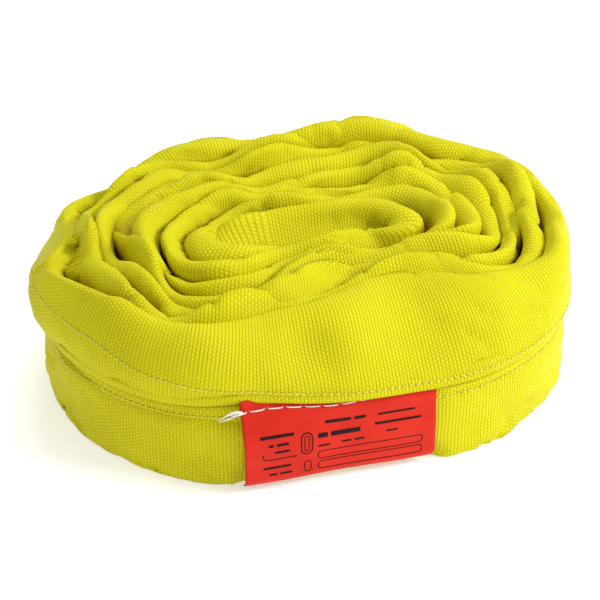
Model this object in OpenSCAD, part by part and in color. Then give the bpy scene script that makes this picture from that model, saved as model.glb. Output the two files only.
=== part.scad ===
// Endless round sling, laid double and rolled up on its edge.
// Upper and lower run of the loop follow one racetrack spiral, one above the other,
// and turn into each other round a bight at the inner end and at the outer end.

/* [Sling] */
// Length between the two bearing points
bearing_length = 3658; // [3450:1:3700]
// Width of one run laid flat
strand_w = 42; // [41:0.5:44]
// Thickness of one run
strand_t = 13.4; // [13.2:0.1:13.4]
// Distance from one turn of the roll to the next
pitch = 13.8; // [13.8:0.1:14.2]
// Centreline radius of the first half turn
first_radius = 18.6; // [17:0.1:19]

/* [Jacket] */
// Wall of the outer jacket
outer_wall = 1; // [0.8:0.1:1]
// Wall of the inner jacket
inner_wall = 0.6; // [0.4:0.1:0.6]
// Radius of the flat tube's rounded edges
edge_radius = 5.5; // [5:0.1:5.8]
// Depth of the sewn seam allowance, measured from the middle of the loop
seam_depth = 9.5; // [9:0.1:9.8]

/* [Core] */
// Width of one yarn hank across its corners
hank_d = 6.2; // [5:0.1:6.2]
// Distance between neighbouring hanks
hank_pitch = 6.4; // [6.3:0.05:6.4]

/* [Tag] */
// Left end of the tag from the middle of the straights
tag_left = -66; // [-70:1:-60]
// Width of the tag
tag_w = 98; // [90:1:104]
// Thickness of the tag
tag_t = 0.5; // [0.4:0.1:0.6]
// Height of the hinge line, where the tag is sewn on
tag_hinge_z = 35.5; // [35:0.5:36]
// Height of the strip above the hinge line
tag_edge_h = 5.5; // [4.5:0.5:5.5]

/* [Threads] */
// Thickness of a sewing thread
thread_t = 0.35; // [0.25:0.05:0.35]
// Width of a sewing thread
thread_w = 0.8; // [0.5:0.1:1]
// Length of one lock stitch on the tag
stitch_l = 6; // [5:0.5:6.5]
// Distance from one lock stitch to the next
stitch_pitch = 7.5; // [7:0.5:9]

/* [Hidden] */
$fn = 48;
half_turns = 14;             // half turns of the spiral, an even number
tip_past = 3;                // inner bight's tip past the middle of its half turn
outer_reach = 8;             // outer end's straight past the last turn
mid_z = strand_w;            // height of the loop's middle, where the two runs meet
run_gap = 0.6;               // half the gap between the two runs
cloth_gap = 0.15;            // gap between the two jackets
touch_gap = 0.05;            // gap under a thread or tape that lies on something
corner_steps = 2;            // facets in each rounded corner of the jackets
hank_sides = 6;
hank_count = 5;

// Radius of half turn k, and the straight that gives the sling its length
function turn_r(k) = first_radius + k * pitch / 2;
turn_r_sum = half_turns * (turn_r(0) + turn_r(half_turns - 1)) / 2;
straight_sum = bearing_length + strand_w - tip_past - outer_reach - PI * turn_r_sum;
straight_half = round(100 * straight_sum / (2 * (half_turns + 1))) / 100;
centre_step = pitch / 4;     // right half turns sit this far forward, left ones this far back
start_x = strand_w - straight_half - tip_past;
start_y = turn_r(0) - centre_step;

// Places across the front straight, measured outward from the middle of its thickness
seam_out = 5.4;                                       // outer face of the seam allowance
tag_seam_n = seam_out + thread_t + 0.25;              // inner face of the tag's sewn edge
tag_face_n = strand_t / 2 + 0.8;                      // inner face of the hanging flap
ink_t = 0.15;

// Shift that puts the origin under the middle of the whole box
front_line = centre_step - turn_r(half_turns - 1);
left_end = -straight_half - turn_r(half_turns - 1) - strand_t / 2;
right_end = straight_half + turn_r(half_turns - 2) + strand_t / 2;
back_end = centre_step + turn_r(half_turns - 1) + strand_t / 2;
front_end = front_line - tag_face_n - tag_t - ink_t;
to_origin = [-(left_end + right_end) / 2, -(front_end + back_end) / 2, 0];

// Places across the flat tube, measured outward from the loop's middle
body_in = 6;                                          // the round tube starts past the seam
inner_gap = outer_wall + cloth_gap;
core_in = 11.2;                                       // first hank
core_out = core_in + (hank_count - 1) * hank_pitch;   // last hank

// ---- 2D outlines: x runs outward from the loop's middle, y across the thickness ----

// A flat tube's outline, with each corner cut in corner_steps facets
module rounded(x0, x1, half_t, r) {
    polygon([for (q = [0 : 3], i = [0 : corner_steps])
        let (a = 90 * (q + i / corner_steps))
        [(q == 0 || q == 3 ? x1 - r : x0 + r) + r * cos(a),
         (q < 2 ? half_t - r : r - half_t) + r * sin(a)]]);
}

module outer_jacket_outline() {
    difference() {
        union() {
            rounded(body_in, strand_w, strand_t / 2, edge_radius);
            translate([run_gap, seam_out - 2 * outer_wall])
                square([seam_depth - run_gap, 2 * outer_wall]);
        }
        rounded(body_in + outer_wall, strand_w - outer_wall,
                strand_t / 2 - outer_wall, edge_radius - outer_wall);
    }
}

module inner_jacket_outline() {
    difference() {
        rounded(body_in + inner_gap, strand_w - inner_gap,
                strand_t / 2 - inner_gap, edge_radius - inner_gap);
        rounded(body_in + inner_gap + inner_wall, strand_w - inner_gap - inner_wall,
                strand_t / 2 - inner_gap - inner_wall, edge_radius - inner_gap - inner_wall);
    }
}

module hank_outline(i) {
    translate([core_in + i * hank_pitch, 0]) circle(d = hank_d, $fn = hank_sides);
}

module seam_thread_outline(face) {
    y = face > 0 ? seam_out + touch_gap : seam_out - 2 * outer_wall - thread_t - touch_gap;
    translate([body_in / 2 - thread_w / 2, y]) square([thread_w, thread_t]);
}

// ---- Sweeps ----

// An outline for both runs: x across the thickness, y the height
module both_runs() {
    translate([0, mid_z]) {
        mirror([1, 0]) rotate(90) children();
        mirror([0, 1]) mirror([1, 0]) rotate(90) children();
    }
}

module straight_run(length) {
    rotate([90, 0, 90]) linear_extrude(length) both_runs() children();
}

// Half a ring about the loop's middle, turning towards +X
module bight() {
    translate([0, 0, mid_z]) rotate([-90, 0, 0]) rotate([0, 0, -90])
        rotate_extrude(angle = 180) children();
}

module half_turn(k) {
    right = k % 2 == 0;
    translate([right ? straight_half : -straight_half, right ? -centre_step : centre_step, 0])
        rotate(right ? -90 : 90) rotate_extrude(angle = 180) translate([turn_r(k), 0])
            both_runs() children();
}

// The straight that leads into half turn k from x0, at the back for a right one
module lead_straight(k, x0, x1 = straight_half) {
    y = turn_r(k) - centre_step;
    if (k % 2 == 0) translate([x0, y, 0]) straight_run(x1 - x0) children();
    else mirror([0, 1, 0]) translate([x0, y, 0]) straight_run(x1 - x0) children();
}

// The whole endless loop with one outline
module along_loop() {
    translate(to_origin) {
        translate([start_x, start_y, 0]) mirror([1, 0, 0]) bight() children();
        for (k = [0 : half_turns - 1]) {
            lead_straight(k, k == 0 ? start_x : -straight_half) children();
            half_turn(k) children();
        }
        end_x = straight_half + outer_reach;
        lead_straight(half_turns, -straight_half, end_x) children();
        translate([end_x, turn_r(half_turns) - centre_step, 0]) bight() children();
    }
}

// ---- Cloth and yarn ----

module outer_jacket() {
    color([0.86, 0.84, 0.05]) along_loop() outer_jacket_outline();
}

module inner_jacket() {
    color([0.93, 0.93, 0.90]) along_loop() inner_jacket_outline();
}

module core_hank(i) {
    color([0.96, 0.95, 0.90]) along_loop() hank_outline(i);
}

// Outline round the whole row of hanks, a margin clear of their corners and flats
module around_hanks(margin, corner_r) {
    reach = hank_d / 2 + margin;
    hank_half_t = hank_d / 2 * cos(180 / hank_sides);
    rounded(core_in - reach, core_out + reach, hank_half_t + margin, corner_r);
}

// One tape round the hanks of each run, at the back of the outer turn
module core_binding_tapes() {
    tape_w = 16;
    tape_t = 0.2;
    margin = 2 * touch_gap;
    corner_r = 1.7;
    color([0.75, 0.80, 0.86]) translate(to_origin)
        translate([-tape_w / 2, turn_r(half_turns) - centre_step, 0])
            straight_run(tape_w) difference() {
                around_hanks(margin + tape_t, corner_r + tape_t);
                around_hanks(margin, corner_r);
            }
}

// ---- Pieces on the front face: y is the distance out from the strand's middle ----

module on_front() {
    translate(to_origin) translate([0, front_line, 0]) mirror([0, 1, 0]) children();
}

// A thread of rectangular section, standing on a face that looks outward
module thread_bar(x, y, z, length, height) {
    translate([x, y, z]) cube([length, thread_t, height]);
}

// Two rows of stitches across the lap where the jacket's ends meet, behind the tag
module jacket_joint_stitches() {
    row_gap = 10;
    length = 3.5;
    step = 1.2 * length;
    first_z = edge_radius + 3;
    color([0.90, 0.88, 0.20]) on_front()
        for (row = [0 : 1], i = [0 : 3])
            thread_bar(tag_left + tag_w / 2 + row * row_gap, strand_t / 2 + touch_gap,
                       first_z + i * step, thread_w, length);
}

module seam_needle_thread() {
    color([0.95, 0.93, 0.35]) along_loop() seam_thread_outline(1);
}

module seam_bobbin_thread() {
    color([0.95, 0.93, 0.35]) along_loop() seam_thread_outline(-1);
}

// ---- Tag ----

hinge_gap = 0.3;
flap_top = tag_hinge_z - hinge_gap;
flap_out_z = mid_z - body_in - edge_radius - 1;
curl_r = edge_radius + tag_face_n - strand_t / 2;   // inside of the curl round the lower edge
curl_n = strand_t / 2 - edge_radius;
curl_end = 45;                                      // degrees that the curl turns
curl_steps = 6;

module tag_sewn_edge() {
    color([0.86, 0.18, 0.10]) on_front()
        translate([tag_left, tag_seam_n, tag_hinge_z]) cube([tag_w, tag_t, tag_edge_h]);
}

// One face of the flap, offset from its inner face: down over the lower run and in under its edge
function flap_face(offset) = concat(
    [[tag_seam_n + offset, flap_top], [tag_face_n + offset, flap_out_z + offset / 2],
     [tag_face_n + offset, edge_radius]],
    [for (i = [1 : curl_steps]) let (a = -curl_end * i / curl_steps)
        [curl_n + (curl_r + offset) * cos(a), edge_radius + (curl_r + offset) * sin(a)]]);

function backwards(points) = [for (i = [len(points) - 1 : -1 : 0]) points[i]];

module flap_section() {
    polygon(concat(flap_face(0), backwards(flap_face(tag_t))));
}

module tag_flap() {
    corner = 6;
    color([0.88, 0.20, 0.11]) on_front() intersection() {
        translate([tag_left, 0, 0]) rotate([90, 0, 90]) linear_extrude(tag_w) flap_section();
        translate([tag_left, 2 * strand_t, 0]) rotate([90, 0, 0])
            linear_extrude(2 * strand_t) union() {
                square([tag_w - corner, mid_z]);
                translate([0, corner]) square([tag_w, mid_z - corner]);
                translate([tag_w - corner, corner]) circle(corner);
            }
    }
}

// A bar of ink on the flap's face
module ink(x, z, w, h) {
    translate([tag_left + x, tag_face_n + tag_t, z]) cube([w, ink_t, h]);
}

module ink_frame(x, z, w, h, line) {
    translate([tag_left + x, tag_face_n + tag_t, z]) difference() {
        cube([w, ink_t, h]);
        translate([line, -1, line]) cube([w - 2 * line, 2, h - 2 * line]);
    }
}

module tag_print() {
    line = 1.3;
    color([0.12, 0.08, 0.08]) on_front() {
        for (row = [0 : 2]) ink(8, 24 - row * 4.2, 17 - row * 2.5, line);
        for (row = [0 : 2]) ink(71, 25 - row * 4.2, 20 - row * 3.4, line);
        ink(39, 23.5, 22, 1.5 * line);
        ink(39, 17.5, 17, line);
        ink_frame(28, 12.5, 5, 13.5, 0.7);
        ink_frame(36, 8, 51, 4.2, 0.5);
    }
}

module tag_stitches() {
    stitch_z = tag_hinge_z + tag_edge_h / 2;
    color([0.95, 0.95, 0.93]) on_front()
        for (x = [2 : stitch_pitch : tag_w - stitch_l - 2])
            thread_bar(tag_left + x, tag_seam_n + tag_t + touch_gap, stitch_z, stitch_l, thread_w);
}

module tag_thread_tail() {
    length = 13;
    color([0.95, 0.95, 0.93]) on_front()
        thread_bar(tag_left - length - 1, tag_seam_n, tag_hinge_z + tag_edge_h / 2,
                   length, thread_w);
}

outer_jacket();
inner_jacket();
core_hank(0);  // core_hank_1
core_hank(1);  // core_hank_2
core_hank(2);  // core_hank_3
core_hank(3);  // core_hank_4
core_hank(4);  // core_hank_5
core_binding_tapes();
jacket_joint_stitches();
seam_needle_thread();
seam_bobbin_thread();
tag_sewn_edge();
tag_flap();
tag_print();
tag_stitches();
tag_thread_tail();
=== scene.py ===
"""Yellow round sling, laid double and rolled up, with its red tag.

The loop is one endless cloth tube. It is built ring by ring along the rolled-up route, relaxed as
cloth between the neighbouring turns, and then settled into the slumped shape of the real roll.
"""
import math

import bpy
import numpy as np
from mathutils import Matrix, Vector


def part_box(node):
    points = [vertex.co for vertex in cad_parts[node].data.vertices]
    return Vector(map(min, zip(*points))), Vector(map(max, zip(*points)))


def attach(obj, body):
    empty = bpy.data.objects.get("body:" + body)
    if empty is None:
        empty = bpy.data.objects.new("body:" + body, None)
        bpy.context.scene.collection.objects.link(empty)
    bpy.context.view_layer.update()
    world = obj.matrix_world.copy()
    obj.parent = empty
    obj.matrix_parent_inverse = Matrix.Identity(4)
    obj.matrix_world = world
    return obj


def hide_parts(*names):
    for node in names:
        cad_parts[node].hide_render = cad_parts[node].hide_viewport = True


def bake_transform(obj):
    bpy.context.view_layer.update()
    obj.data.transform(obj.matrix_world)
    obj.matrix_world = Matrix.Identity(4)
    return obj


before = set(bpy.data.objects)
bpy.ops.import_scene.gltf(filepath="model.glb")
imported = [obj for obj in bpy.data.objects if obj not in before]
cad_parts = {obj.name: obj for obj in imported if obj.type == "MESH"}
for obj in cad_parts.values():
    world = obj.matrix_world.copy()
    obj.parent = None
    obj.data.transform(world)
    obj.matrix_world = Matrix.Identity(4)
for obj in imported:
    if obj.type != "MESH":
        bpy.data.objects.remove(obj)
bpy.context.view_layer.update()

# ---- The roll's dimensions, as the CAD part has them, in metres ----
BEARING_LENGTH = 3.658
STRAND_W = 0.042  # one run's width, which stands upright in the roll
STRAND_T = 0.0134  # one run's thickness
PITCH = 0.0138  # from one turn to the next
FIRST_RADIUS = 0.0186
HALF_TURNS = 14
MID_Z = STRAND_W
CENTRE_STEP = PITCH / 4
TIP_PAST = 0.003  # how far the inner bight's tip lies past the first straight's end
OUTER_REACH = 0.008  # how much longer the last straight is
CENTRE_B = STRAND_W / 2  # the core's middle, out from the loop's middle
CLOTH_MIDDLE = 0.022  # the settled cloth's middle, out from the loop's middle
SEED = 11


def turn_r(k):
    return FIRST_RADIUS + k * PITCH / 2


RADIUS_SUM = sum(turn_r(k) for k in range(HALF_TURNS))
STRAIGHT_SUM = BEARING_LENGTH + STRAND_W - TIP_PAST - OUTER_REACH - math.pi * RADIUS_SUM
STRAIGHT_HALF = round(STRAIGHT_SUM / (2 * (HALF_TURNS + 1)), 5)

jacket_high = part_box("outer_jacket")[1]
SHIFT = np.array([
    jacket_high.x - (STRAIGHT_HALF + turn_r(HALF_TURNS - 2) + STRAND_T / 2),
    jacket_high.y - (CENTRE_STEP + turn_r(HALF_TURNS - 1) + STRAND_T / 2),
])


def smoothstep(low, high, x):
    t = np.clip((np.asarray(x, float) - low) / (high - low), 0, 1)
    return t * t * (3 - 2 * t)


def running(steps):
    """The total of the steps up to each point, from nothing at the first."""
    return np.concatenate([[0], np.cumsum(steps)])


def at_distances(wanted, run, line):
    """Places at distances along a line whose points lie at the distances run."""
    return np.stack([np.interp(wanted, run, values) for values in line.T], 1)


# ---- Camera, lights and floor ----

def place_aimed(name, data, place, direction):
    """Adds a camera or a light that looks in a direction."""
    made = bpy.data.objects.new(name, data)
    bpy.context.scene.collection.objects.link(made)
    made.location = place
    made.rotation_mode = "QUATERNION"
    made.rotation_quaternion = direction.to_track_quat("-Z", "Y")
    return made


def add_camera():
    azimuth, elevation, distance = math.radians(-15.5), math.radians(32.8), 0.875
    target = Vector((-0.0067, -0.0139, 0.042))
    back = Vector((math.sin(azimuth) * math.cos(elevation),
                   -math.cos(azimuth) * math.cos(elevation), math.sin(elevation)))
    data = bpy.data.cameras.new("camera")
    data.lens, data.sensor_width = 97.7, 36
    data.clip_start, data.clip_end = 0.05, 20
    bpy.context.scene.camera = place_aimed("camera", data, target + back * distance, -back)


def add_area_light(name, place, aim, size, power):
    data = bpy.data.lights.new(name, "AREA")
    data.shape, data.size, data.energy = "DISK", size, power
    place_aimed(name, data, place, Vector(aim) - Vector(place))


def add_lights():
    add_area_light("key", (0.80, -0.45, 0.70), (0, 0, 0.04), 0.40, 9)
    add_area_light("top", (0.1, 0.45, 1.0), (0, 0, 0.04), 0.5, 4)
    world = bpy.data.worlds.new("studio")
    bpy.context.scene.world = world
    world.use_nodes = True
    background = world.node_tree.nodes["Background"]
    background.inputs["Color"].default_value = (1, 1, 1, 1)
    background.inputs["Strength"].default_value = 0.66
    bpy.context.scene.view_settings.view_transform = "Standard"


def mesh_object(name, points, faces, smooth=True):
    mesh = bpy.data.meshes.new(name)
    mesh.from_pydata([tuple(p) for p in points], [], [tuple(f) for f in faces])
    if smooth:
        mesh.polygons.foreach_set("use_smooth", [True] * len(mesh.polygons))
    mesh.update()
    made = bpy.data.objects.new(name, mesh)
    bpy.context.scene.collection.objects.link(made)
    return made


def add_floor():
    reach = 6
    floor = mesh_object("floor", [(-reach, -reach, 0), (reach, -reach, 0),
                                  (reach, reach, 0), (-reach, reach, 0)], [(0, 1, 2, 3)], False)
    floor.data.materials.append(floor_material())


# ---- Node helpers and materials ----

RIB_PITCH = 0.0019  # between the jacket's weft ribs
FLOAT_PITCH = 0.0021  # between the shiny floats on one rib


class Nodes:
    """Short calls for building one material's node tree."""

    def __init__(self, name, colour, roughness):
        self.material = bpy.data.materials.new(name)
        self.material.use_nodes = True
        self.tree = self.material.node_tree
        self.shader = self.tree.nodes["Principled BSDF"]
        self.look("Base Color", colour)
        self.look("Roughness", roughness)

    def node(self, kind, **values):
        made = self.tree.nodes.new("ShaderNode" + kind)
        for key, value in values.items():
            setattr(made, key, value)
        return made

    def put(self, value, socket):
        if isinstance(value, (int, float)):
            socket.default_value = value
        elif isinstance(value, tuple):
            socket.default_value = (*value, 1)
        else:
            self.tree.links.new(value, socket)

    def math(self, operation, a, b=0.0, clamp=False):
        made = self.node("Math", operation=operation, use_clamp=clamp)
        self.put(a, made.inputs[0])
        self.put(b, made.inputs[1])
        return made.outputs[0]

    def mix(self, share, a, b):
        made = self.node("Mix", data_type="RGBA")
        self.put(share, made.inputs[0])
        self.put(a, made.inputs[6])
        self.put(b, made.inputs[7])
        return made.outputs[2]

    def ramp(self, value, low, high):
        made = self.node("MapRange", interpolation_type="SMOOTHSTEP")
        self.put(value, made.inputs["Value"])
        made.inputs["From Min"].default_value = low
        made.inputs["From Max"].default_value = high
        return made.outputs["Result"]

    def noise(self, scale, detail=3.0):
        made = self.node("TexNoise")
        self.put(self.node("TexCoord").outputs["Object"], made.inputs["Vector"])
        made.inputs["Scale"].default_value = scale
        made.inputs["Detail"].default_value = detail
        return made.outputs["Fac"]

    def axes(self, source):
        split = self.node("SeparateXYZ")
        self.put(source, split.inputs[0])
        return split.outputs

    def wave(self, distance, period):
        return self.math("SINE", self.math("MULTIPLY", distance, 2 * math.pi / period))

    def weave(self, along, across, along_pitch, across_pitch):
        """From -1 to 1: one system's yarns come up where it is high, the other's where low."""
        return self.math("MULTIPLY", self.wave(along, along_pitch), self.wave(across, across_pitch))

    def look(self, name, value):
        self.put(value, self.shader.inputs[name])

    def bump(self, height, distance, strength=1.0):
        made = self.node("Bump")
        made.inputs["Distance"].default_value = distance
        made.inputs["Strength"].default_value = strength
        self.put(height, made.inputs["Height"])
        self.look("Normal", made.outputs["Normal"])


def jacket_material():
    """Coarse plain-woven bright yellow polyester: ribs across the tube with shiny floats."""
    n = Nodes("jacket_weave", (0.60, 0.57, 0.004), 0.5)
    along, across, _ = n.axes(n.node("UVMap", uv_map="cloth").outputs["UV"])
    wander = n.math("MULTIPLY", n.noise(45, 2), 0.0009)
    along = n.math("ADD", along, wander)
    across = n.math("ADD", across, wander)
    floats = n.ramp(n.weave(along, across, 2 * RIB_PITCH, FLOAT_PITCH), 0.15, 0.9)
    ribs = n.math("MULTIPLY", n.wave(n.math("SUBTRACT", along, RIB_PITCH / 4), RIB_PITCH), -1.0)
    gaps = n.ramp(ribs, 0.1, 1.0)
    shade = n.mix(n.ramp(n.noise(22), 0.35, 0.65), (0.58, 0.53, 0.0), (0.64, 0.60, 0.001))
    # painted shade: the cloth is darker in the gaps between the weft ribs
    colour = n.mix(n.math("MULTIPLY", gaps, 0.35), shade, (0.40, 0.36, 0.0))
    # painted highlight: the floats are lighter and paler than the cloth around them
    colour = n.mix(n.math("MULTIPLY", floats, 0.7), colour, (0.82, 0.80, 0.07))
    # painted shade: orange-brown where the cloth lies deep between the turns
    crevice_shade = n.node("Attribute", attribute_name="crevice_shade").outputs["Fac"]
    colour = n.mix(n.math("MULTIPLY", crevice_shade, 0.8), colour, (0.30, 0.12, 0.0))
    n.look("Base Color", colour)
    roughness = n.math("SUBTRACT", 0.62, n.math("MULTIPLY", floats, 0.24))
    n.look("Roughness", roughness)
    n.look("Specular IOR Level", 0.08)
    height = n.math("SUBTRACT", floats, n.math("MULTIPLY", gaps, 0.6))
    n.bump(n.math("ADD", height, n.math("MULTIPLY", n.noise(1100, 2), 0.3)), 0.00035, 0.8)
    return n.material


def thread_material(name, colour, deep):
    n = Nodes(name, colour, 0.5)
    n.look("Base Color", n.mix(n.ramp(n.noise(700), 0.3, 0.7), deep, colour))
    n.bump(n.noise(2500, 1), 0.0002, 0.6)
    n.look("Sheen Weight", 0.2)
    return n.material


def tag_material():
    """Coated red-orange ribbon with a fine rib."""
    n = Nodes("tag_ribbon", (0.60, 0.022, 0.008), 0.5)
    x, _, z = n.axes(n.node("TexCoord").outputs["Object"])
    ribs = n.weave(x, z, 0.0011, 0.0009)
    shade = n.mix(n.ramp(n.noise(35), 0.35, 0.65), (0.58, 0.016, 0.006), (0.68, 0.024, 0.009))
    shine = n.math("MULTIPLY", n.ramp(ribs, 0, 1), 0.22)
    n.look("Base Color", n.mix(shine, shade, (0.76, 0.045, 0.02)))
    n.bump(ribs, 0.0001, 0.5)
    n.look("Specular IOR Level", 0.15)
    return n.material


def ink_material():
    n = Nodes("tag_ink", (0.03, 0.012, 0.014), 0.5)
    worn = n.ramp(n.noise(900, 4), 0.45, 0.75)
    n.look("Base Color", n.mix(worn, (0.012, 0.006, 0.008), (0.05, 0.012, 0.010)))
    n.look("Specular IOR Level", 0.1)
    n.bump(n.noise(1800, 1), 0.00005, 0.4)
    return n.material


def yarn_material(name, colour, deep):
    n = Nodes(name, colour, 0.6)
    n.look("Base Color", n.mix(n.ramp(n.noise(400), 0.3, 0.7), deep, colour))
    n.bump(n.noise(1500, 3), 0.0004, 0.8)
    return n.material


def floor_material():
    n = Nodes("pale_floor", (0.93, 0.93, 0.93), 0.9)
    n.look("Specular IOR Level", 0.1)
    n.look("Emission Color", (1, 1, 1))
    n.look("Emission Strength", 0.35)
    return n.material


# ---- The route: one ring of cloth every few millimetres round the endless loop ----

def spiral_pieces():
    """The spiral's straights and arcs, from the inner end to the outer end."""
    pieces = []
    for k in range(HALF_TURNS + 1):
        back = k % 2 == 0
        y = (turn_r(k) - CENTRE_STEP) * (1 if back else -1)
        heading = 1 if back else -1
        first = STRAND_W - STRAIGHT_HALF - TIP_PAST if k == 0 else -STRAIGHT_HALF
        last = STRAIGHT_HALF + (OUTER_REACH if k == HALF_TURNS else 0)
        pieces.append({"k": k, "start": first * heading, "y": y, "heading": heading,
                       "length": last - first})
        if k < HALF_TURNS:
            pieces.append({"k": k, "centre": (heading * STRAIGHT_HALF, -heading * CENTRE_STEP),
                           "radius": turn_r(k), "heading": heading,
                           "length": math.pi * turn_r(k)})
    return pieces


def on_spiral(distances):
    """Place, tangent, outward normal, direction q, turn number and bend radius at each distance."""
    count = len(distances)
    place, tangent, normal = (np.zeros((count, 2)) for _ in range(3))
    q, turn, radius = np.zeros(count), np.zeros(count), np.full(count, 1e3)
    begun = 0.0
    pieces = spiral_pieces()
    for number, piece in enumerate(pieces):
        end = begun + piece["length"]
        last = number == len(pieces) - 1
        here = (distances >= begun) & ((distances < end) | last)
        s = distances[here] - begun
        heading = piece["heading"]
        if "centre" in piece:
            angle = math.pi / 2 * heading - s / piece["radius"]
            out = np.stack([np.cos(angle), np.sin(angle)], 1)
            place[here] = np.array(piece["centre"]) + out * piece["radius"]
            normal[here] = out
            tangent[here] = np.stack([out[:, 1], -out[:, 0]], 1)
            middle = 0 if heading > 0 else -180
            q[here] = middle + (np.degrees(angle) - middle) * 75 / 90
            radius[here] = piece["radius"]
        else:
            x = piece["start"] + s * heading
            place[here] = np.stack([x, np.full(len(x), piece["y"])], 1)
            tangent[here] = (heading, 0)
            normal[here] = (0, heading)
            q[here] = heading * (90 - 15 * x / STRAIGHT_HALF)
        turn[here] = piece["k"] / 2
        begun = end
    return place, tangent, normal, q % 360, turn, radius


SPIRAL_LENGTH = sum(p["length"] for p in spiral_pieces())
BIGHT_LENGTH = math.pi * CENTRE_B
LOOP_LENGTH = 2 * (SPIRAL_LENGTH + BIGHT_LENGTH)
RINGS = 2340
AROUND = 42
FINE_SHARE = 0.42  # ring density in the hidden part of the lower run
HIDDEN_FROM = (0.78, 0.84)  # where it begins, after the lower run's outer end
HIDDEN_UNTIL = (0.12, 0.18)  # where it ends, before the loop closes


def ring_places():
    """Where the rings stand along the loop: close together where the cloth shows."""
    fine = np.linspace(0, LOOP_LENGTH, 20001)
    second_run = SPIRAL_LENGTH + BIGHT_LENGTH
    hidden = smoothstep(second_run + HIDDEN_FROM[0], second_run + HIDDEN_FROM[1], fine)
    hidden = hidden * smoothstep(LOOP_LENGTH - HIDDEN_UNTIL[0], LOOP_LENGTH - HIDDEN_UNTIL[1], fine)
    density = 1 - (1 - FINE_SHARE) * hidden
    run = running((density[1:] + density[:-1]) / 2)
    return np.interp((np.arange(RINGS) + 0.5) / RINGS * run[-1], run, fine)


def make_route():
    """Ring planes: middle (on the loop's mid plane), outward normal and rim direction."""
    s = ring_places()
    first_bight = SPIRAL_LENGTH + BIGHT_LENGTH
    second_run = first_bight + SPIRAL_LENGTH
    along = np.select([s < SPIRAL_LENGTH, s < first_bight, s < second_run],
                      [s, SPIRAL_LENGTH, second_run - s], 0.0)
    turned = np.select([s < SPIRAL_LENGTH, s < first_bight, s < second_run],
                       [0, (s - SPIRAL_LENGTH) / CENTRE_B, math.pi], (s - second_run) / CENTRE_B)
    outer = s < second_run
    place, tangent, normal, q, turn, radius = on_spiral(along)
    up = np.cos(turned) * np.where(outer, 1, -1)
    ahead = np.sin(turned) * np.where(outer, 1, -1)
    middle = np.column_stack([place + SHIFT, np.full(RINGS, MID_Z)])
    normal3 = np.column_stack([normal, np.zeros(RINGS)])
    rim = np.column_stack([tangent * ahead[:, None], up])
    return {"s": s, "middle": middle, "normal": normal3, "rim": rim, "q": q, "turn": turn,
            "radius": radius, "forward": np.cross(rim, normal3), "along": along, "up": up}


route = make_route()


def off_route(points, axis="normal"):
    """How far points lie from their ring's middle, along one of its axes."""
    return ((points - route["middle"][:, None]) * route[axis][:, None]).sum(2)


def on_rings(out, rise):
    """Places on every ring: out from its middle, and up its rim direction."""
    return (route["middle"][:, None] + route["normal"][:, None] * out[..., None]
            + route["rim"][:, None] * rise[..., None])


# ---- Cloth: rings of points, relaxed between core, neighbours and floor ----

FLOOR_GAP = 0.0003
HALF_SLOT = 0.00665  # half the room between neighbouring turns
TOP_SPREAD = 0.0012  # how far the loose cloth spreads over a neighbour at the top
CORE_R = 0.0032  # the yarn core's edge radius
CORE_HALF = 0.0019  # the flat part of its half thickness
CORE_LOW, CORE_HIGH = 0.0100, 0.0378
CLOTH_AROUND = 0.124  # round the jacket's tube, which is wider than the core
SEAM_GAP = 0.0004  # the least height over the loop's middle plane
FULLNESS, FULLNESS_VARIES = 1.11, 0.07  # cloth length over the route's length
CORE_VARIES, CORE_TILTS = 0.0022, 0.0016
CARRIED, MOST_CARRIED = 0.88, 0.0005  # share of a move kept for the next step, and its limit
PRESSURE, WEIGHT = 0.00006, 0.00002  # outward and downward moves at each step
EDGE_GRIP = (0.8, 0.5)  # how much of a length error is taken out: stretched, squeezed
SHEAR_GRIP = (0.25, 0.15)
BEND_GRIP = (0.0, 0.10)
STRAIGHTEN = 0.02  # how much of its way off its ring's plane a point goes back


def section_start():
    """One ring at the start: a rounded upright slot, from the seam round over the rim."""
    half, low, high = 0.0058, 0.0016, 0.0424
    square_out, square_up, seam_angle = 0.45, 0.75, math.radians(-52)
    dense = np.linspace(0, 2 * math.pi, 721) + seam_angle
    out = np.sign(np.cos(dense)) * np.abs(np.cos(dense)) ** square_out * half
    swing = np.sign(np.sin(dense)) * np.abs(np.sin(dense)) ** square_up
    rise = (low + high) / 2 + swing * (high - low) / 2
    run = running(np.hypot(np.diff(out), np.diff(rise)))
    wanted = np.arange(AROUND) / AROUND * run[-1]
    return np.interp(wanted, run, out), np.interp(wanted, run, rise)


def along_noise(waves, shortest, seed):
    """Smooth random values round the loop, from about -1 to 1; shortest is a wavelength."""
    draw = np.random.default_rng(seed)
    s = route["s"] / LOOP_LENGTH * 2 * math.pi
    most = LOOP_LENGTH / shortest
    orders = draw.integers(int(most * 0.3), int(most), waves)
    total = sum(np.sin(order * s + draw.uniform(0, 2 * math.pi)) for order in orders)
    return total / math.sqrt(waves / 2) * 0.6


def grid_noise(waves, long_waves, around_waves, seed):
    """Smooth random values over the whole jacket."""
    draw = np.random.default_rng(seed)
    s = route["s"][:, None] / LOOP_LENGTH * 2 * math.pi
    v = np.arange(AROUND)[None, :] / AROUND * 2 * math.pi
    total = np.zeros((RINGS, AROUND))
    for _ in range(waves):
        i = draw.integers(int(long_waves * 0.4), long_waves)
        j = draw.integers(-around_waves, around_waves + 1)
        total += np.sin(i * s + j * v + draw.uniform(0, 2 * math.pi))
    return total / math.sqrt(waves / 2)


def bight_share():
    """1 at the turning point of each bight, 0 on the runs."""
    return 1 - np.abs(route["up"])


def first_cloth():
    out_ripple, rise_ripple = 0.0007, 0.0012
    out, rise = section_start()
    out = out[None, :] + out_ripple * grid_noise(14, 420, 4, SEED + 1)
    rise = rise[None, :] + rise_ripple * grid_noise(14, 420, 4, SEED + 2)
    return on_rings(out, rise)


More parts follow.
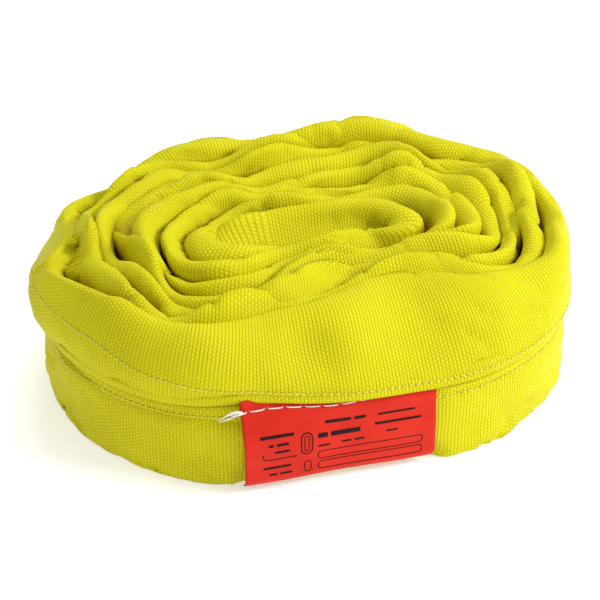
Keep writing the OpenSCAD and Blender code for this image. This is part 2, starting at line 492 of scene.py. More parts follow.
def pull(points, rings, places, rest, grip):
    """One pass of length constraints between each point and its neighbour on the grid."""
    stretch, squeeze = grip
    other = np.roll(points, (-rings, -places), axis=(0, 1))
    gap = other - points
    length = np.sqrt((gap * gap).sum(2)) + 1e-9
    error = length - rest
    share = np.where(error > 0, stretch, squeeze) * error / length * 0.5
    move = gap * share[..., None].astype(points.dtype)
    points += move
    points -= np.roll(move, (rings, places), axis=(0, 1))


def cloth_normals(points):
    along = np.roll(points, -1, 0) - np.roll(points, 1, 0)
    around = np.roll(points, -1, 1) - np.roll(points, 1, 1)
    normal = np.cross(around, along)
    return normal / (np.linalg.norm(normal, axis=2, keepdims=True) + 1e-12)


def relax_cloth(points, steps):
    """Lets the cloth find its shape between the core, the neighbouring turns and the floor."""
    points = points.astype(np.float32)
    middle, normal, rim, forward = (route[k][:, None].astype(np.float32)
                                    for k in ("middle", "normal", "rim", "forward"))
    radius = route["radius"][:, None]
    spacing = np.diff(route["s"], append=route["s"][0] + LOOP_LENGTH)
    fullness = FULLNESS + FULLNESS_VARIES * along_noise(9, 0.25, SEED + 3)
    fan = np.clip((section_start()[1] - SEAM_GAP) / CENTRE_B, 0.12, 2.0)[None, :]
    fan = np.where(bight_share()[:, None] > 0, fan, 1.0)
    along_rest = ((spacing * fullness)[:, None] * fan).astype(np.float32)
    around_rest = CLOTH_AROUND / AROUND
    across_rest = np.hypot(along_rest, around_rest)
    core_top = (CORE_HIGH + CORE_VARIES * along_noise(12, 0.09, SEED + 4))[:, None]
    core_tilt = (CORE_TILTS * along_noise(12, 0.09, SEED + 14))[:, None]
    outermost = (route["turn"] >= HALF_TURNS / 2 - 1)[:, None]
    wall_out = np.where(outermost, STRAND_T / 2, HALF_SLOT)
    before = points.copy()
    outward = cloth_normals(points)
    for step in range(steps):
        carried = points - before
        before = points.copy()
        points += CARRIED * np.clip(carried, -MOST_CARRIED, MOST_CARRIED)
        if step % 4 == 0:
            outward = cloth_normals(points)
        points += PRESSURE * outward
        points[..., 2] -= WEIGHT
        pull(points, 1, 0, along_rest, EDGE_GRIP)
        pull(points, 0, 1, around_rest, EDGE_GRIP)
        pull(points, 1, 1, across_rest, SHEAR_GRIP)
        pull(points, 1, -1, across_rest, SHEAR_GRIP)
        pull(points, 2, 0, 1.8 * along_rest, BEND_GRIP)
        pull(points, 0, 2, 1.7 * around_rest, BEND_GRIP)
        rel = points - middle
        ahead = (rel * forward).sum(2)
        out = (rel * normal).sum(2) + ahead ** 2 / (2 * radius)
        rise = (rel * rim).sum(2)
        # the core pushes the cloth off its own space
        near_out = np.clip(out, -CORE_HALF, CORE_HALF)
        near_rise = np.clip(rise, CORE_LOW, core_top + core_tilt * near_out / CORE_HALF)
        away = np.hypot(out - near_out, rise - near_rise) + 1e-6
        inside = np.clip(CORE_R - away, 0, 0.001) / away
        new_out = out + (out - near_out) * inside
        new_rise = rise + (rise - near_rise) * inside
        spread = TOP_SPREAD * smoothstep(0.026, 0.038, new_rise)
        new_out = np.clip(new_out, -HALF_SLOT - spread, wall_out + np.where(outermost, 0, spread))
        new_rise = np.clip(new_rise, SEAM_GAP, STRAND_W + 0.004)
        points += normal * (new_out - out)[..., None] + rim * (new_rise - rise)[..., None]
        points -= forward * (STRAIGHTEN * ahead)[..., None]
        np.maximum(points[..., 2], FLOOR_GAP, out=points[..., 2])
    return points.astype(float)


def smooth_cloth(points):
    """Moves each point part of the way to the middle of its four neighbours."""
    near = (np.roll(points, 1, 0) + np.roll(points, -1, 0)
            + np.roll(points, 1, 1) + np.roll(points, -1, 1)) / 4
    return points + 0.45 * (near - points)


# ---- Settling: how the real roll slumps away from an even spiral ----

# Direction q goes round the roll: 0 right, 90 back, 180 left, 270 front, in degrees.
# For each, in mm: how far in the outer turn's outer face and inner rim lie at the top, how far
# in the innermost turn's rim lies, how much higher or lower the outer turn's crest is, and how
# far the upper run's wall bulges out.
SETTLE_Q = [0, 30, 60, 85, 105, 130, 155, 180, 205, 225, 236, 250, 270, 288, 303, 318, 335]
OUTER_FACE = [1, 0, -1, 0, 2, 4, 4, 3, 4, 6, 15, 26, 34, 38, 28, 13, 3]
OUTER_RIM = [12, 13, 17, 23, 21, 19, 20, 20, 18, 19, 30, 44, 53, 57, 48, 31, 15]
INNER_RIM = [70, 72, 80, 88, 88, 84, 77, 71, 72, 77, 83, 90, 93, 91, 84, 76, 71]
CREST_RISE = [-2, 1, 7, 9, -2, -12, -8, -1, 3, 1, -4, -3, -2, -1, 0, 0, -1]
OUTWARD_BULGE = [2, 2, 0, 0, 0, 2, 5, 7, 6, 4, 3, 2, 2, 2, 2, 2, 2]
INNERMOST = 6 * PITCH
DEEPEST = 0.105  # points this deep or deeper are not moved in
CREASE_DEPTH, FINE_CREASE, SOFT_FOLD, PUFF = 0.0042, 0.0013, 0.0013, 0.0006
MOST_CRUMPLE = 0.0030
CALMED = 0.75  # how much of the crumple the outer turn's front and left lose
CREST_WAVES, OWN_CREST = 0.0022, 0.0031  # crest height: over the roll, and each turn's own
SWAY, DRIFT = 0.0030, 0.0021  # sideways: each turn's own, and over the roll
GROOVE_LIFT = 0.0032  # the line between the runs lies this much above their middle
TONGUE_REACH, TONGUE_SWING, TONGUE_LENGTH = 0.034, 0.012, 0.075
END_ALONG, END_IN, END_LENGTH = 0.018, 0.012, 0.09  # the outer end reaches further round the roll
BELLY = 0.013  # the inner back strand bellies out over the roll's middle
BASE_IN = 0.0055  # the cloth behind the tag turns in at its base
TUCK_IN, TUCK_UP, TUCK_X, TUCK_Z, TUCK_WIDTH = 0.006, 0.002, -0.052, 0.046, 0.030
PUCKER_PLACE, PUCKER_RADIUS, PUCKER_DEPTH = (-0.025, -0.095, 0.066), 0.013, 0.006


def around_roll(values, q):
    """Smooth periodic interpolation of listed values over the directions."""
    knots = np.array(SETTLE_Q, float)
    values = np.array(values, float) / 1000
    extended = np.concatenate([knots - 360, knots, knots + 360])
    fine = np.arange(-180, 540, 3.0)
    line = np.interp(fine, extended, np.tile(values, 3))
    kernel = np.hanning(9)
    line = np.convolve(line, kernel / kernel.sum(), "same")
    return np.interp(q, fine, line)


def outer_turn():
    """The outermost strand's turn number at each ring: the outer end lies at the back right."""
    right_half = route["turn"] % 1 == 0
    at_back = 7 - smoothstep(90, 52, route["q"])
    return np.where(right_half, np.where(route["q"] < 180, at_back, 6.0), 6.5)


def depth_map(q, depth):
    """How far in from the roll's outer face a depth of the even spiral lies at the top."""
    face, rim, inner = (around_roll(v, q) for v in (OUTER_FACE, OUTER_RIM, INNER_RIM))
    gap = 0.007 * smoothstep(125, 145, q) * smoothstep(210, 190, q)
    outer = face + (rim - gap - face) * depth / PITCH
    between = rim + (inner - rim) * (depth - PITCH) / (INNERMOST - PITCH)
    core = inner + (depth - INNERMOST) * (DEEPEST - inner) / (DEEPEST - INNERMOST)
    core = np.where(depth > DEEPEST, depth, core)
    return np.select([depth < PITCH, depth < INNERMOST], [outer, between], core)


def world_noise(points, wave, seed, count=7):
    """Smooth random values over the place seen from above, from about -1 to 1."""
    draw = np.random.default_rng(seed)
    total = np.zeros(points.shape[:-1])
    for _ in range(count):
        angle = draw.uniform(0, 2 * math.pi)
        k = 2 * math.pi / (wave * draw.uniform(0.8, 1.6))
        total += np.sin(k * (points[..., 0] * math.cos(angle) + points[..., 1] * math.sin(angle))
                        + draw.uniform(0, 2 * math.pi))
    return total / math.sqrt(count / 2)


def crumple(points):
    """Loose cloth lies in soft folds: puffed between creases that wander along the tube."""
    ridge = grid_noise(16, 110, 5, SEED + 21)
    soft = grid_noise(16, 150, 4, SEED + 22)
    crease = 1 - np.abs(np.tanh(1.3 * ridge))
    finger = 1 - np.abs(np.tanh(1.2 * grid_noise(16, 210, 7, SEED + 24)))
    loose = 0.35 + 0.65 * smoothstep(-0.6, 0.9, grid_noise(10, 40, 2, SEED + 23))
    outer = smoothstep(HALF_TURNS / 2 - 1.2, HALF_TURNS / 2 - 0.9, route["turn"])[:, None]
    calm = 1 - CALMED * outer * smoothstep(150, 225, route["q"])[:, None]
    depth = CREASE_DEPTH * crease ** 3 + FINE_CREASE * finger ** 3 - SOFT_FOLD * soft
    calm = calm * smoothstep(0.6, 0.0, bight_share())[:, None]
    depth = np.clip(depth * loose * calm - PUFF, -MOST_CRUMPLE, MOST_CRUMPLE)
    moved = points - cloth_normals(points) * depth[..., None]
    moved[..., 2] = np.maximum(moved[..., 2], FLOOR_GAP)
    return moved


def lay_ends(points):
    """Both ends reach further than the even spiral, and the inner one's lower edge swings in."""
    straight = 1 - smoothstep(0.0, TONGUE_LENGTH, route["along"])[:, None]
    height = np.clip((points[..., 2] - MID_Z) / STRAND_W, 0, 1)
    moved = points.copy()
    moved[..., 0] -= TONGUE_REACH * straight
    moved[..., 1] -= TONGUE_SWING * straight * (1 - height) * smoothstep(0, MID_Z, points[..., 2])
    inner = 1 - smoothstep(0.03, 0.10, route["along"])[:, None]
    moved[..., 1] -= BELLY * inner * np.sin(math.pi * np.clip(height + 0.15, 0, 1))
    end = smoothstep(SPIRAL_LENGTH - END_LENGTH, SPIRAL_LENGTH, route["along"])[:, None]
    moved[..., 0] += END_ALONG * end
    moved[..., 1] -= END_IN * end
    return moved


def tuck_front(points):
    """The line between the runs lies further in at the front left, under the bulging upper run."""
    x, y, z = points[..., 0], points[..., 1], points[..., 2]
    share = smoothstep(-0.070, -0.085, y) * np.exp(-((x - TUCK_X) / TUCK_WIDTH) ** 2)
    share = share * np.exp(-((z - TUCK_Z) / 0.009) ** 2)
    return points + np.stack([0 * share, TUCK_IN * share, TUCK_UP * share], -1)


def pucker_front(points):
    """A shallow dent pulled into the outer turn's face, a little left of the front's middle."""
    away = np.linalg.norm(points - np.array(PUCKER_PLACE), axis=-1)
    share = np.exp(-(away / PUCKER_RADIUS) ** 2)
    return points + np.stack([0 * share, PUCKER_DEPTH * share, -0.4 * PUCKER_DEPTH * share], -1)


def press_behind_tag(points):
    """The lower run's cloth lies flat behind the tag."""
    x, y, z = points[..., 0], points[..., 1], points[..., 2]
    beside = (smoothstep(TAG_LEFT - 0.008, TAG_LEFT + 0.001, x)
              * smoothstep(TAG_RIGHT + 0.008, TAG_RIGHT - 0.001, x))
    share = beside * (route["up"][:, None] < 0)
    moved = points.copy()
    front = smoothstep(FACE_Y + 0.014, FACE_Y + 0.004, y)
    moved[..., 1] += BASE_IN * smoothstep(0.015, 0.001, z) * front * share
    too_far = np.clip(behind_tag_y(z) - moved[..., 1], 0, None)
    moved[..., 1] += too_far * share * smoothstep(0.002, 0.006, z)
    return moved


def behind_tag_y(z):
    """Where the cloth's face lies behind the tag at a height."""
    return np.interp(z, PROFILE_Z[::-1], PROFILE_Y[::-1]) + TAG_THICK + TAG_CLEAR


def settle(points):
    """Moves points of the even spiral to where they lie in the slumped roll."""
    normal = route["normal"][:, None]
    q = np.broadcast_to(route["q"][:, None], points.shape[:2])
    turn = route["turn"][:, None]
    depth = PITCH * (outer_turn()[:, None] - turn) + PITCH / 2 - off_route(points)
    height = (points[..., 2] - MID_Z) / STRAND_W
    lean = np.clip(height, 0, 1.1) ** 1.35
    moved = points.copy()
    moved -= normal * ((depth_map(q, depth) - depth) * lean)[..., None]
    outer_share = smoothstep(1.6 * PITCH, 0.6 * PITCH, depth)
    rise = around_roll(CREST_RISE, q) * outer_share
    rise += CREST_WAVES * world_noise(points, 0.045, SEED + 5) * (0.4 + 0.6 * (1 - outer_share))
    steady = smoothstep(0.5, 0.0, bight_share())[:, None]
    own = along_noise(14, 0.055, SEED + 6)[:, None] * steady
    rise = rise + OWN_CREST * own * (1 - 0.7 * outer_share)
    sway = along_noise(14, 0.05, SEED + 9)[:, None] * steady * np.clip(height, 0, 1) ** 2
    moved += normal * (SWAY * sway * (1 - 0.8 * outer_share))[..., None]
    moved[..., 2] += rise * np.clip(height, 0, 1.2) ** 1.5
    moved[..., 2] += GROOVE_LIFT * np.exp(-((points[..., 2] - MID_Z) / 0.011) ** 2)
    swell = np.sin(math.pi * np.clip(height / 0.9, 0, 1)) * smoothstep(1.0, 0.3, depth / PITCH)
    moved += normal * (around_roll(OUTWARD_BULGE, q) * swell)[..., None]
    for axis, seed in ((0, 7), (1, 8)):
        moved[..., axis] += DRIFT * world_noise(points, 0.055, SEED + seed) * np.clip(height, 0, 1)
    return tuck_front(press_behind_tag(pucker_front(lay_ends(moved))))


# ---- Building the jacket's mesh ----

def on_outside(points):
    """Which points lie on the roll's outer face, before settling."""
    return (off_route(points) > 0) & (route["turn"] >= HALF_TURNS / 2 - 1)[:, None]


def painted_crevice_shade(points, outside):
    """Painted shade, from 0 to 1: how deep a point lies between the cloth that stands around it."""
    cell, reach = 0.002, 0.16
    size = int(2 * reach / cell)
    index = np.clip(((points[..., :2] + reach) / cell).astype(int), 0, size - 1)
    top = np.zeros((size, size))
    np.maximum.at(top, (index[..., 0], index[..., 1]), points[..., 2])
    filled = top.copy()
    for pick in (np.maximum, np.maximum, np.maximum, np.minimum, np.minimum, np.minimum):
        for axis in (0, 1):
            filled = pick(filled, pick(np.roll(filled, 1, axis), np.roll(filled, -1, axis)))
    for _ in range(2):
        for axis in (0, 1):
            filled = (2 * filled + np.roll(filled, 1, axis) + np.roll(filled, -1, axis)) / 4
    below = filled[index[..., 0], index[..., 1]] - points[..., 2]
    return smoothstep(0.003, 0.012, below) * (points[..., 2] > MID_Z) * ~outside


CLOTH_SHARE = 1.05  # cloth length over the length of its path


def cloth_run(points):
    """The cloth's length up to each ring: a bight's outside sets it, and its inside gathers."""
    centre = points.mean(1)
    steps = np.linalg.norm(np.roll(centre, -1, 0) - centre, axis=1)
    outside = np.quantile(np.linalg.norm(np.roll(points, -1, 0) - points, axis=2), 0.85, axis=1)
    steps += (outside - steps) * smoothstep(0.0, 0.3, bight_share())
    return running(steps) * CLOTH_SHARE


def add_cloth_map(piece, points, across):
    """A UV map in metres, "cloth": the distance along the cloth, and across it for each corner."""
    i, j = np.indices(points.shape[:2])
    run = cloth_run(points)
    corners = [(i, j), (i + 1, j), (i + 1, j + 1), (i, j + 1)]
    uv = np.stack([np.stack([run[ci], across[ci, cj]], 2) for ci, cj in corners], 2)
    layer = piece.data.uv_layers.new(name="cloth")
    layer.data.foreach_set("uv", uv.reshape(-1).astype(np.float32))


def build_jacket(points, outside):
    """The tube, with its cloth's map and, for painted shade, how deep each point lies between the
    cloth around it.
    """
    made = closed_tube("jacket", points)
    steps = np.linalg.norm(np.roll(points, -1, 1) - points, axis=2)
    kernel = np.hanning(41)
    kernel /= kernel.sum()
    padded = np.concatenate([steps[-20:], steps, steps[:20]])
    steps = np.stack([np.convolve(padded[:, j], kernel, "valid") for j in range(AROUND)], 1)
    across = np.concatenate([np.zeros((RINGS, 1)), np.cumsum(steps, 1)], 1)
    add_cloth_map(made, points, np.concatenate([across, across[:1]]))
    shade = made.data.attributes.new("crevice_shade", "FLOAT", "POINT")
    shade.data.foreach_set("value", painted_crevice_shade(points, outside).reshape(-1).astype(np.float32))
    return made


def finish_piece(piece, material, nodes=(), body="sling"):
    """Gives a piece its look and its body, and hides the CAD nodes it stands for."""
    piece.data.materials.append(material)
    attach(piece, body)
    if nodes:
        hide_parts(*nodes)


# ---- Seam: a folded hem where the two runs meet, with its stitches ----

SEAM_RISE = 0.0052  # the stitch row's height over the loop's middle plane
SEAM_STITCH, SEAM_PITCH, SEAM_THREAD_R = 0.0024, 0.0034, 0.00035
HEM_FACE = 0.0080
HEM = [(0.0046, 0.0098), (0.0064, 0.0096), (0.0076, 0.0062), (HEM_FACE, 0.0014),
       (0.0077, 0.0007), (0.0070, 0.0006), (0.0060, 0.0060)]  # its outline: (outward, rise)
HEM_STEP = 0.0035  # between its outline's points on the cloth
HEM_BELOW = 0.0018  # the lower run's hem lies this much further in
# how far the stitch row climbs the outer turn's face, in mm, for each direction in SETTLE_Q
SEAM_CLIMB = [0, 0, 0, 0, 0, 0, 14, 25, 21, 13, 9, 3, 0, 0, 0, 0, 0]


def hem_offset():
    """How far in the hem lies on each ring: nothing on the upper run."""
    return -HEM_BELOW * (1 - np.clip(route["up"], -1, 1)) / 2


def ring_points(section, offset=0.0):
    """The same outline, (outward, rise) pairs, set up on every ring."""
    out, rise = np.array(section).T
    return on_rings(out + np.reshape(offset, (-1, 1)), rise)


def closed_tube(name, points):
    """An endless tube through rings of points."""
    rings, around = points.shape[:2]
    grid = np.arange(rings * around).reshape(rings, around)
    ahead = np.roll(grid, -1, 0)
    faces = np.stack([grid, ahead, np.roll(ahead, -1, 1), np.roll(grid, -1, 1)], 2)
    return mesh_object(name, points.reshape(-1, 3), faces.reshape(-1, 4))


def seam_line_on(points):
    """The stitch row: on the hem, and climbing over the outer turn's face at the left."""
    out, rise = off_route(points), off_route(points, "rim")
    outer = (route["turn"] == HALF_TURNS / 2 - 0.5) & (route["up"] > 0)
    wanted = SEAM_RISE + around_roll(SEAM_CLIMB, route["q"]) * outer
    hem_top, over_cloth = 0.010, 0.0002
    face = np.zeros(RINGS)
    for i in range(RINGS):
        wall = np.nonzero((out[i] > 0.002) & (rise[i] < 0.038))[0]
        wall = wall[np.argsort(rise[i][wall])]
        face[i] = np.interp(wanted[i], rise[i][wall], out[i][wall]) + over_cloth
    face = np.where(wanted < hem_top, np.maximum(face, HEM_FACE + hem_offset()), face)
    return on_rings(face[:, None], wanted[:, None])


def build_hem():
    points = settle(ring_points(HEM, hem_offset()))
    made = closed_tube("seam_hem", points)
    across = np.arange(len(HEM) + 1) * HEM_STEP
    add_cloth_map(made, points, np.broadcast_to(across, (RINGS + 1, len(across))))
    return made


def band_faces(base, rings, around):
    """Quads between rings of points that follow one another from the point numbered base."""
    grid = base + np.arange(rings * around).reshape(rings, around)
    side = np.roll(grid, -1, 1)
    return np.stack([grid[:-1], side[:-1], side[1:], grid[1:]], 2).reshape(-1, 4).tolist()


def stitch_grid(start, end, lift, radius, sides=5):
    """One stitch: a thread that comes up out of the cloth, runs along it and goes down again."""
    axis = end - start
    axis_length = np.linalg.norm(axis) + 1e-9
    axis = axis / axis_length
    side = np.cross(axis, lift)
    side /= np.linalg.norm(side) + 1e-9
    up = np.cross(side, axis)
    rings = []
    for share, height, size in ((0.0, -1.6, 0.7), (0.12, 0.3, 0.95), (0.5, 0.75, 1.0),
                                (0.88, 0.3, 0.95), (1.0, -1.6, 0.7)):
        centre = start + axis * axis_length * share + up * radius * height
        rings.append([centre + radius * size * (side * math.cos(a) + up * math.sin(a))
                      for a in np.arange(sides) * 2 * math.pi / sides])
    return rings


def join_stitches(name, stitches):
    """One mesh of many short threads, each a row of rings with both ends closed."""
    points, faces = [], []
    for rings in stitches:
        base, sides = len(points), len(rings[0])
        for ring in rings:
            points.extend(ring)
        faces.extend(band_faces(base, len(rings), sides))
        faces.append(tuple(base + a for a in reversed(range(sides))))
        last = base + (len(rings) - 1) * sides
        faces.append(tuple(last + a for a in range(sides)))
    return mesh_object(name, points, faces)


def build_seam_stitches(line):
    """The long seam's stitches along its line of points, one for each ring."""
    run = running(np.linalg.norm(np.diff(line, axis=0), axis=1))
    wanted = np.arange(0, run[-1], SEAM_PITCH)
    starts, ends = at_distances(wanted, run, line), at_distances(wanted + SEAM_STITCH, run, line)
    lifts = at_distances(wanted, run, route["normal"])
    return join_stitches("seam_threads", [stitch_grid(a, b, lift, SEAM_THREAD_R)
                                          for a, b, lift in zip(starts, ends, lifts)])


# ---- Inside: the liner, the five yarn hanks and their binding tapes ----

def oblong(half, low, high, steps=4):
    """A rounded upright outline as (outward, rise) pairs."""
    pairs = []
    for centre, first in ((high - half, 0), (low + half, 180)):
        for i in range(steps + 1):
            angle = math.radians(first + 180 * i / steps)
            pairs.append((half * math.cos(angle), centre + half * math.sin(angle)))
    return pairs


HANKS = 5


def build_hank(number):
    radius, first, step = 0.0017, 0.0140, 0.0044
    centre = first + number * step
    outline = [(radius * math.cos(a), centre + radius * math.sin(a))
               for a in np.arange(6) * math.pi / 3]
    return closed_tube(f"yarn_hank_{number + 1}", settle(ring_points(outline))[::2])


def build_binding():
    """A tape round the hanks of each run, at the back of the outer turn."""
    section = settle(ring_points(oblong(0.0021, 0.0114, 0.0346)))
    tape_half, tape_thick = 0.008, 0.0003
    points, faces = [], []
    at_back = (route["turn"] == HALF_TURNS / 2) & (np.abs(route["middle"][:, 0]) < tape_half)
    for side in (1, -1):
        rings = np.nonzero(at_back & (route["up"] * side > 0.9))[0]
        faces.extend(band_faces(len(points), len(rings), section.shape[1]))
        points.extend(section[rings].reshape(-1, 3))
    tape = mesh_object("binding_tapes", points, faces)
    solid = tape.modifiers.new("thickness", "SOLIDIFY")
    solid.thickness = tape_thick
    return tape


# ---- Tag: one sheet, its upper edge tucked under the hem, with its print and white stitches ----

flap_low, flap_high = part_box("tag_flap")
edge_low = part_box("tag_sewn_edge")[0]
TAG_LEFT, TAG_RIGHT = flap_low.x, flap_high.x
TAG_WIDTH = TAG_RIGHT - TAG_LEFT
TAG_Y = edge_low.y
FACE_Y = flap_low.y
HINGE_Z = edge_low.z
TAG_TOP_Z = 0.0505
TAG_LOWEST_Z = 0.0011
TAG_THICK = 0.0005
TAG_CLEAR = 0.0010  # from its back to the cloth
TAG_CORNER = 0.0025  # the left end of the top edge dips this much, under the hem
CORNER_WIDE, CORNER_DEEP = 0.016, 0.0076
TAG_RIPPLE, RIPPLE_WAVES = 0.0003, 95
STITCH_ROW = 0.0080  # the stitches' distance from the top edge
CURL_Z, CURL_R, CURL_ANGLE = 0.0088, 0.0062, math.radians(75)


def tag_profile():
    """Outer face from the top edge down: (y, z) points, evenly spaced."""
    line = [(TAG_Y + 0.0042, TAG_TOP_Z), (TAG_Y + 0.0014, 0.0462), (TAG_Y, 0.0425),
            (TAG_Y - 0.0001, HINGE_Z), (FACE_Y + 0.0003, 0.029), (FACE_Y, 0.022),
            (FACE_Y + 0.0001, 0.014), (FACE_Y, CURL_Z)]
    curl_steps, rows = 8, 45
    for i in range(1, curl_steps + 1):
        angle = CURL_ANGLE * i / curl_steps
        line.append((FACE_Y + CURL_R * (1 - math.cos(angle)), CURL_Z - CURL_R * math.sin(angle)))
    line = np.array(line)
    line[:, 1] = np.maximum(line[:, 1], TAG_LOWEST_Z)
    run = running(np.hypot(*np.diff(line, axis=0).T))
    wanted = np.linspace(0, run[-1], rows)
    return np.interp(wanted, run, line[:, 0]), np.interp(wanted, run, line[:, 1]), wanted


PROFILE_Y, PROFILE_Z, PROFILE_RUN = tag_profile()
TAG_LENGTH = PROFILE_RUN[-1]


def on_profile(down):
    return np.interp(down, PROFILE_RUN, PROFILE_Y), np.interp(down, PROFILE_RUN, PROFILE_Z)


def tag_point(x, down, lift):
    """A place on the tag: x from its left edge, down from its top edge, lift off its face."""
    dip = TAG_CORNER * smoothstep(CORNER_WIDE, 0.0, x) * max(0.0, 1 - down / CORNER_DEEP)
    down = down + dip
    step = 0.0004
    (y, z), (y1, z1), (y0, z0) = (on_profile(d) for d in (down, down + step, down - step))
    dy, dz = y1 - y0, z1 - z0
    size = math.hypot(dy, dz) + 1e-9
    ripple = TAG_RIPPLE * math.sin(x * RIPPLE_WAVES) * smoothstep(0.012, 0.03, down)
    place = (TAG_LEFT + x, y + dz / size * (lift + ripple), z - dy / size * (lift + ripple))
    return tuple(tuck_front(np.array(place)))


def tag_width_at(down):
    """The right-hand lower corner is rounded."""
    corner = 0.009
    left = np.clip(down - (TAG_LENGTH - corner), 0, corner)
    return TAG_WIDTH - (corner - math.sqrt(corner ** 2 - left ** 2)) * 0.8


def build_tag():
    """The tag's face and back, closed along all four edges."""
    columns = 70
    points = [tag_point(tag_width_at(down) * column / (columns - 1), down, lift)
              for lift in (0.0, -TAG_THICK) for down in PROFILE_RUN for column in range(columns)]
    grid = np.arange(len(PROFILE_RUN) * columns).reshape(-1, columns)
    face = np.stack([grid[:-1, :-1], grid[1:, :-1], grid[1:, 1:], grid[:-1, 1:]], 2).reshape(-1, 4)
    edge = np.concatenate([grid[0, :-1], grid[:-1, -1], grid[-1, :0:-1], grid[:0:-1, 0]])
    after = np.roll(edge, -1)
    sides = np.stack([edge, after, after + grid.size, edge + grid.size], 1)
    return mesh_object("tag", points, [*face, *(face[:, [0, 3, 2, 1]] + grid.size), *sides])


INK_LIFT, INK_STEP = 0.00012, 0.0012


def ink_strip(points, faces, path, width):
    """A printed line of a given width along a path of (x, down) points, in metres."""
    path = np.array(path, float)
    run = running(np.hypot(*np.diff(path, axis=0).T))
    wanted = np.linspace(0, run[-1], max(len(path), int(run[-1] / INK_STEP) + 2))
    path = at_distances(wanted, run, path)
    tangent = np.gradient(path, axis=0)
    tangent /= np.linalg.norm(tangent, axis=1)[:, None] + 1e-12
    side = np.stack([-tangent[:, 1], tangent[:, 0]], 1) * width / 2
    base = len(points)
    for centre, off in zip(path, side):
        for place in (centre - off, centre + off):
            points.append(tag_point(place[0], place[1], INK_LIFT))
    for i in range(len(path) - 1):
        a = base + 2 * i
        faces.append((a, a + 1, a + 3, a + 2))


def rounded_path(x, down, width, height, radius, steps=5):
    """The outline of a rounded box, closed."""
    path = []
    for cx, cy, first in ((x + width - radius, down + radius, -90),
                          (x + width - radius, down + height - radius, 0),
                          (x + radius, down + height - radius, 90),
                          (x + radius, down + radius, 180)):
        for i in range(steps + 1):
            angle = math.radians(first + 90 * i / steps)
            path.append((cx + radius * math.cos(angle), cy + radius * math.sin(angle)))
    path.append(path[0])
    return path


def word_bars(x, down, lengths):
    """A line of print without letters: one bar for each word, given in mm."""
    space = 1.6
    bars = []
    for length in lengths:
        bars.append([(x / 1000, down / 1000), ((x + length) / 1000, down / 1000)])
        x += length + space
    return bars


def build_print():
    """Plain bars and boxes where a rating tag has its words."""
    points, faces = [], []
    for x, down, lengths, height in (
            (8, 19.5, [17], 1.5), (12, 24.0, [2.5, 6], 1.4), (15, 28.0, [7.5], 1.2),
            (9, 37.0, [14], 1.3), (12, 41.2, [4, 6], 1.1),
            (41, 16.0, [13, 6], 1.6), (37, 22.6, [5, 15], 2.6), (37, 28.6, [6], 1.0),
            (49, 28.2, [5, 5], 1.0), (68, 16.0, [19], 1.1), (66, 21.0, [24], 1.3),
            (72, 26.0, [6], 0.9)):
        for bar in word_bars(x, down, lengths):
            ink_strip(points, faces, bar, height / 1000)
    for x, down, width, height, radius, line in (
            (28.5, 20.0, 5.6, 12, 2.8, 0.6), (30.2, 21.7, 2.2, 8.6, 1.1, 0.45),
            (37, 32.0, 54, 4.4, 1.6, 0.45), (37, 38.2, 54, 4.4, 1.6, 0.45),
            (30.0, 36.4, 3.4, 6.4, 1.7, 0.45)):
        ink_strip(points, faces,
                  np.array(rounded_path(x, down, width, height, radius)) / 1000, line / 1000)
    bracket = [(9, 28.5), (9, 30.5), (9.6, 31.6), (11, 32), (16, 32), (26, 32)]
    ink_strip(points, faces, np.array(bracket) / 1000, 0.0005)
    return mesh_object("tag_print_marks", points, faces)


TO_FRONT = np.array([0, -1.0, 0])
JOINT_STITCHES = 4  # in each of the two rows
JOINT_STITCH, JOINT_GAP = 0.83, 0.17  # thread and gap, as shares of the pitch
JOINT_THREAD_R = 0.0004


def build_joint_stitches():
    """Two rows across the lap where the jacket's ends meet, behind the tag."""
    low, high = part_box("jacket_joint_stitches")
    pitch = (high.z - low.z) / (JOINT_STITCHES - JOINT_GAP)
    stitches = []
    for x in (low.x + JOINT_THREAD_R, high.x - JOINT_THREAD_R):
        for number in range(JOINT_STITCHES):
            first = low.z + number * pitch
            ends = [np.array([x, behind_tag_y(z) - 0.0002, z])
                    for z in (first, first + JOINT_STITCH * pitch)]
            stitches.append(stitch_grid(ends[0], ends[1], TO_FRONT, JOINT_THREAD_R))
    return join_stitches("joint_stitches", stitches)


TAG_STITCH, TAG_STITCH_PITCH, TAG_THREAD_R = 0.0076, 0.0090, 0.00036
FIRST_STITCH_X = -0.0045  # from the tag's left edge
STITCH_CLIMB = 0.0026  # the row runs up under the hem towards the right


def build_tag_stitches():
    stitches = []
    x = FIRST_STITCH_X
    while x < TAG_WIDTH - TAG_STITCH:
        ends = []
        for place in (x, x + TAG_STITCH):
            under_hem = STITCH_CLIMB * smoothstep(0.040, 0.080, place)
            ends.append(np.array(tag_point(place, STITCH_ROW - under_hem, 0.0003)))
        stitches.append(stitch_grid(ends[0], ends[1], TO_FRONT, TAG_THREAD_R, 7))
        x += TAG_STITCH_PITCH
    return join_stitches("tag_lock_stitches", stitches)


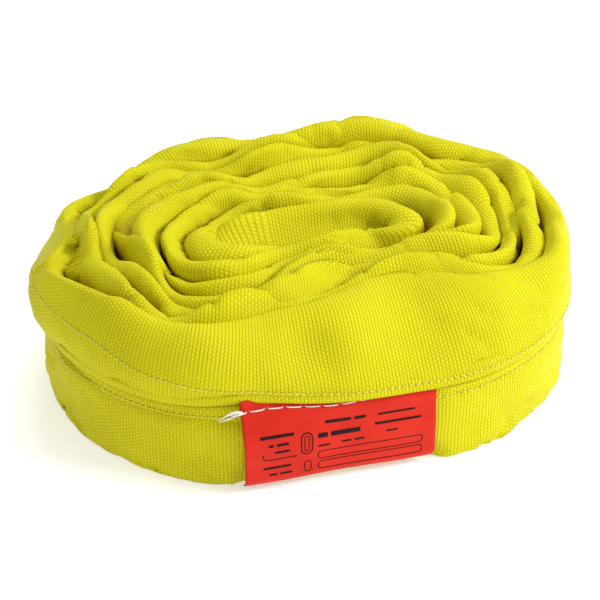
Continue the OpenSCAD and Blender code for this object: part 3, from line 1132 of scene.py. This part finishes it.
def build_thread_tail():
    """Three loose thread ends that lie on the cloth left of the tag."""
    strands = []
    steps = 9
    start = np.array(tag_point(0.001, 0.0074, 0.0006))
    for end, bow in (((-0.0130, -0.0004, -0.0022), 0.0010), ((-0.0118, -0.0006, -0.0030), -0.0006),
                     ((-0.0098, -0.0002, -0.0012), 0.0016)):
        end = start + np.array(end)
        path = [start + (end - start) * i / steps
                + np.array([0, 0, bow * math.sin(math.pi * i / steps)]) for i in range(steps + 1)]
        rings = []
        for i, place in enumerate(path):
            size = 0.00038 * (1 - 0.5 * (i / steps) ** 3)
            rings.append([place + size * np.array([0, math.cos(a), math.sin(a)])
                          for a in np.arange(6) * math.pi / 3])
        strands.append(rings)
    return join_stitches("tag_thread_ends", strands)


# ---- Making everything ----

add_camera()
add_lights()
add_floor()

QUICK_STEPS, FULL_STEPS = 30, 260
cloth = relax_cloth(first_cloth(), FULL_STEPS)
cloth = smooth_cloth(cloth)
cloth = crumple(cloth)
seam_line = seam_line_on(cloth)
outside = on_outside(cloth)
cloth = settle(cloth)
jacket = build_jacket(cloth, outside)
finish_piece(jacket, jacket_material(), ["outer_jacket"])

hem = build_hem()
finish_piece(hem, jacket.data.materials[0])
seam_look = thread_material("yellow_thread", (0.80, 0.74, 0.10), (0.60, 0.50, 0.03))
seam_threads = build_seam_stitches(settle(seam_line)[:, 0])
finish_piece(seam_threads, seam_look,
             ["seam_needle_thread", "seam_bobbin_thread"])
finish_piece(build_joint_stitches(), seam_look, ["jacket_joint_stitches"])

centreline = settle(ring_points([(0, CLOTH_MIDDLE)]))[::6, 0]

liner = closed_tube("inner_jacket_liner", settle(ring_points(oblong(0.0024, 0.0110, 0.0350))))
finish_piece(liner, yarn_material("inner_cloth", (0.85, 0.85, 0.82), (0.70, 0.70, 0.66)),
             ["inner_jacket"])
yarn = yarn_material("core_yarn", (0.90, 0.88, 0.80), (0.72, 0.69, 0.60))
for number in range(HANKS):
    finish_piece(build_hank(number), yarn, [f"core_hank_{number + 1}"])
finish_piece(build_binding(), yarn_material("binding", (0.55, 0.62, 0.72), (0.42, 0.50, 0.62)),
             ["core_binding_tapes"])

tag = build_tag()
tag.data.materials.append(tag_material())
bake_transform(tag)
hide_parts("tag_flap", "tag_sewn_edge")
finish_piece(build_print(), ink_material(), ["tag_print"], "tag_flap")
white = thread_material("white_thread", (0.88, 0.87, 0.84), (0.70, 0.68, 0.64))
finish_piece(build_tag_stitches(), white, ["tag_stitches"])
finish_piece(build_thread_tail(), white, ["tag_thread_tail"])
